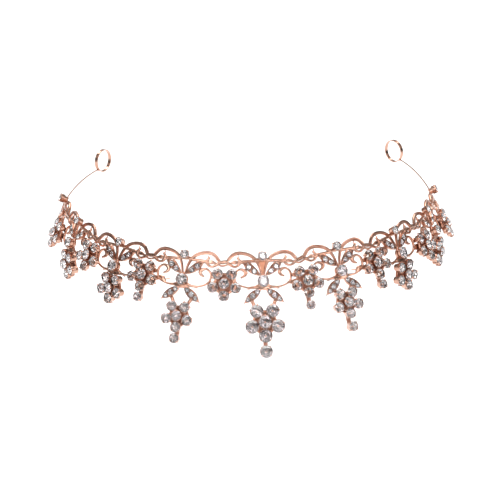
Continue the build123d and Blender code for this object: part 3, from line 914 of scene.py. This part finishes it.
def arm(side_name, side):
    """Wire that leaves the end cup along the band and bends into the corner of a flat strip loop."""
    mount = [item for item in frame["record"]["mounts"] if item["name"] == f"loop_{side_name}"][0]
    centre = Vector(mount["pos_m"]) / MM
    axis = Vector(mount["axis"]).normalized()
    radius = mount["dims"]["r_mm"] + LOOP_STRIP / 2
    up = Vector((0, 0, 1))
    back = axis.cross(up) * (1 if side < 0 else -1)
    corner = centre - up * (radius * LOOP_CORNER_DOWN) - back * (radius * LOOP_CORNER_FRONT)
    unit = unit_of(side * END_NUMBER)
    start = flat_place(unit)(*WIRE_START)
    bow = Vector((side * WIRE_BOW, 0, WIRE_BOW))
    shape = Shape()
    parts = [step / WIRE_STEPS for step in range(WIRE_STEPS + 1)]
    path = [start.lerp(corner, t) + bow * (4 * t * (1 - t)) for t in parts]
    radii = [WIRE_RADIUS] * len(path)
    shape.wire(path, [up] * len(path), radii, radii, WIRE_SIDES)
    ring = []
    for number in range(LOOP_SIDES):
        turn = 2 * math.pi * number / LOOP_SIDES
        out = up * math.cos(turn) + back * math.sin(turn)
        point = centre + out * radius
        section = []
        for x, y in LOOP_SECTION:
            section.append(point + axis * (x * LOOP_WIDTH / 2) + out * (y * LOOP_STRIP / 2))
        ring.append(section)
    first = len(shape.points)
    shape.loft(ring, METAL, False, False)
    count = len(LOOP_SECTION)
    last = first + (LOOP_SIDES - 1) * count
    for number in range(count):
        after = (number + 1) % count
        shape.faces.append((last + number, last + after, first + after, first + number))
        shape.kinds.append(METAL)
    shape.ball(corner, axis, 0.5, 1.0)
    metal_piece(shape, f"arm_with_loop_{side_name}", f"wire_arm_{side_name}")


# ------------------------------------------------------------------ the tiara
for name, number in UNITS:
    butterfly(name, number)
    unit = unit_of(number)
    centre_y, ring, radius, tabs, flare = PENDANTS[name]
    spot = hung_place(unit, flare)
    shape = Shape()
    for tab in tabs:
        add_flat_strip(shape, spot, tab, ARM_STRIP, PENDANT_BACK, PENDANT_BACK + SOLDER_TAB)
    if tabs == STRAP:
        root = flat_place(unit)
        add_flat_strip(shape, root, STRAP_ROOT, ARM_STRIP, PENDANT_BACK, PENDANT_BACK + SOLDER_TAB)
    nodes = (f"pendant_setting_{name}", f"pendant_stones_{name}")
    levels = (PENDANT_BACK, PENDANT_GIRDLE, PENDANT_CORE_GIRDLE)
    cluster(shape, f"pendant_cluster_{name}", nodes, spot, centre_y, ring, radius, *levels, number)
    if name in PENDANT_DROPS:
        drop_y, radius = PENDANT_DROPS[name]
        levels = (DROP_BACK, PENDANT_GIRDLE)
        node = f"pendant_drop_{name}"
        drop(f"hanging_cup_{name}", node, spot, centre_y - ring, drop_y, radius, *levels, number)

for side_name, side in SIDES.items():
    for number in FLOWER_NUMBERS:
        name = f"{side_name}_{number}"
        shift, lift = FLOWER_SHIFT[name]
        angle = side * (number - 0.5) * PITCH + shift
        spot = flat_place((angle, lift))
        nodes = (f"flower_setting_{name}", f"flower_stones_{name}")
        levels = (PLATE / 2, FLOWER_GIRDLE, FLOWER_CORE_GIRDLE)
        seed = FLOWER_SEED + side * number
        petals = (FLOWER_Y, FLOWER_RING, FLOWER_STONE)
        cluster(Shape(), f"flower_cluster_{name}", nodes, spot, *petals, *levels, seed)
        if name in FLOWER_DROPS:
            drop_y, radius = FLOWER_DROPS[name]
            spot = flat_place((angle, 0.0))
            from_y = FLOWER_Y + lift - FLOWER_RING
            foot = PLATE / 2 - SOLDER_TAB
            node = f"flower_drop_{name}"
            drop(f"flower_cup_{name}", node, spot, from_y, drop_y, radius, foot, FLOWER_GIRDLE, seed)
    end_terminal(side_name, side)
    arm(side_name, side)
stone_piece(drop_stones, "drop_crystals", "drop_stones")

# ------------------------------------------------------------------ camera, light and floor
CAMERA_TURN = math.radians(3.756)
CAMERA_DOWN = math.radians(21.479)
CAMERA_ROLL = math.radians(-0.744)
CAMERA_AWAY = 533.95  # millimetres from the point that it aims at
CAMERA_SIDE = 0.511  # from the origin to that point, across the view and up it
CAMERA_DROP = -16.141
CAMERA_LENS = 98.96
CAMERA_SENSOR = 36.0


def add_camera():
    """Camera in front, a little to the left and looking down, tilted by a hair."""
    forward = Vector(
        (
            math.sin(CAMERA_TURN) * math.cos(CAMERA_DOWN),
            math.cos(CAMERA_TURN) * math.cos(CAMERA_DOWN),
            -math.sin(CAMERA_DOWN),
        )
    )
    right = Vector((math.cos(CAMERA_TURN), -math.sin(CAMERA_TURN), 0))
    up = right.cross(forward)
    aim = right * CAMERA_SIDE + up * CAMERA_DROP
    camera = bpy.data.objects.new("camera", bpy.data.cameras.new("camera"))
    bpy.context.scene.collection.objects.link(camera)
    turn = Matrix((right, up, -forward)).transposed()
    roll = Matrix.Rotation(CAMERA_ROLL, 3, "Z")
    camera.matrix_world = Matrix.Translation((aim - forward * CAMERA_AWAY) * MM) @ (turn @ roll).to_4x4()
    camera.data.lens = CAMERA_LENS
    camera.data.sensor_width = CAMERA_SENSOR
    camera.data.clip_start = 0.01
    camera.data.clip_end = 20.0
    bpy.context.scene.camera = camera


def add_light(name, spot, aim, width, height, power):
    """Rectangular soft box that points at a place."""
    data = bpy.data.lights.new(name, "AREA")
    data.shape = "RECTANGLE"
    data.size = width
    data.size_y = height
    data.energy = power
    light = bpy.data.objects.new(name, data)
    light.location = spot
    light.rotation_euler = (Vector(aim) - Vector(spot)).to_track_quat("-Z", "Y").to_euler()
    bpy.context.scene.collection.objects.link(light)


# Soft boxes: place, aim, width and height in metres, watts
KEY_BOX = ((-0.55, -0.75, 0.55), (0, -0.03, 0), 0.45, 0.6, 1.8)
FILL_BOX = ((0.75, -0.6, 0.35), (0, -0.03, 0), 0.35, 0.6, 1.6)
TOP_BOX = ((0.0, 0.5, 1.3), (0, 0.3, 0), 1.8, 1.4, 34.0)
# Small lights that the facets catch: the places of the strong ones, and an even spread of weak ones
SPARKS = [
    (-0.62, -1.05, 0.95),
    (-0.3, -1.25, 0.62),
    (-0.12, -1.2, 1.05),
    (0.12, -1.3, 0.8),
    (0.32, -1.2, 0.45),
    (0.5, -1.1, 0.85),
    (0.1, -1.4, 0.3),
    (-0.45, -1.3, 0.25),
]
SPARK_SIZE = 0.11
SPARK_WATTS = 0.45
GLINT_COUNT = 20
GLINT_SIZE = 0.06
GLINT_WATTS = 0.15
GLINT_AWAY = 1.45
GLINT_SPREAD = 50  # degrees to either side of the front
GLINT_LOW = 3  # degrees over the horizon, for the lowest one
GLINT_HIGH = 60
GOLDEN = 0.618  # spreads them without a pattern
SPARK_AIM = (0, -0.05, 0)
FLOOR_RADIUS = 1.6
FLOOR_SIDES = 96
FLOOR_DROP = 0.05  # below the lowest cup
FLOOR_COLOUR = (0.93, 0.93, 0.93, 1)
# Surroundings: strength from the horizon to overhead, times that of the patches
SKY_HEIGHTS = (0.0, 0.9)
SKY_STRENGTHS = (0.2, 0.45)
PATCH_SCALE = 4.0
PATCH_DETAIL = 1.5
PATCH_NOISE = (0.43, 0.57)
PATCH_STRENGTHS = (0.0, 2.4)
WHITE = (1, 1, 1, 1)


def add_studio():
    """Pale round floor, the surroundings, three soft boxes and the small lights."""
    mesh = bpy.data.meshes.new("floor")
    turns = [2 * math.pi * number / FLOOR_SIDES for number in range(FLOOR_SIDES)]
    edge = [(FLOOR_RADIUS * math.cos(turn), FLOOR_RADIUS * math.sin(turn), 0) for turn in turns]
    mesh.from_pydata(edge, [], [range(FLOOR_SIDES)])
    floor = bpy.data.objects.new("floor", mesh)
    floor.location = (0, 0, cad_box[0].z - FLOOR_DROP)
    material, shader = new_material("pale_floor")[:2]
    shader.inputs["Base Color"].default_value = FLOOR_COLOUR
    shader.inputs["Roughness"].default_value = 1.0
    shader.inputs["Specular IOR Level"].default_value = 0.0
    mesh.materials.append(material)
    bpy.context.scene.collection.objects.link(floor)
    add_world()
    add_light("key_box", *KEY_BOX)
    add_light("fill_box", *FILL_BOX)
    for number, spot in enumerate(SPARKS):
        add_light(f"spark_{number}", spot, SPARK_AIM, SPARK_SIZE, SPARK_SIZE, SPARK_WATTS)
    for number in range(GLINT_COUNT):
        turn = math.radians(GLINT_SPREAD * (2 * (number * GOLDEN % 1) - 1))
        rise = math.radians(GLINT_LOW + (GLINT_HIGH - GLINT_LOW) * (number + 0.5) / GLINT_COUNT)
        spot = Vector((math.sin(turn) * math.cos(rise), -math.cos(turn) * math.cos(rise), math.sin(rise)))
        add_light(f"glint_{number}", spot * GLINT_AWAY, SPARK_AIM, GLINT_SIZE, GLINT_SIZE, GLINT_WATTS)
    add_light("top_box", *TOP_BOX)


def add_world():
    """Patchy studio surroundings, brighter overhead; where the camera sees them directly, plain white."""
    world = bpy.data.worlds.new("studio")
    world.use_nodes = True
    nodes = world.node_tree.nodes
    links = world.node_tree.links
    background = nodes["Background"]
    background.inputs["Color"].default_value = WHITE
    look = nodes.new("ShaderNodeTexCoord")
    parts = nodes.new("ShaderNodeSeparateXYZ")
    links.new(look.outputs["Generated"], parts.inputs["Vector"])
    climb = mapped(nodes, links, parts.outputs["Z"], SKY_HEIGHTS, SKY_STRENGTHS)
    patches = nodes.new("ShaderNodeTexNoise")
    patches.inputs["Scale"].default_value = PATCH_SCALE
    patches.inputs["Detail"].default_value = PATCH_DETAIL
    links.new(look.outputs["Generated"], patches.inputs["Vector"])
    swing = mapped(nodes, links, patches.outputs["Fac"], PATCH_NOISE, PATCH_STRENGTHS)
    strength = nodes.new("ShaderNodeMath")
    strength.operation = "MULTIPLY"
    links.new(climb, strength.inputs[0])
    links.new(swing, strength.inputs[1])
    ray = nodes.new("ShaderNodeLightPath")
    seen = nodes.new("ShaderNodeMix")
    links.new(ray.outputs["Is Camera Ray"], seen.inputs["Factor"])
    links.new(strength.outputs["Value"], seen.inputs["A"])
    seen.inputs["B"].default_value = 1.0
    links.new(seen.outputs["Result"], background.inputs["Strength"])
    bpy.context.scene.world = world


add_camera()
add_studio()
bpy.context.scene.view_settings.view_transform = "Standard"
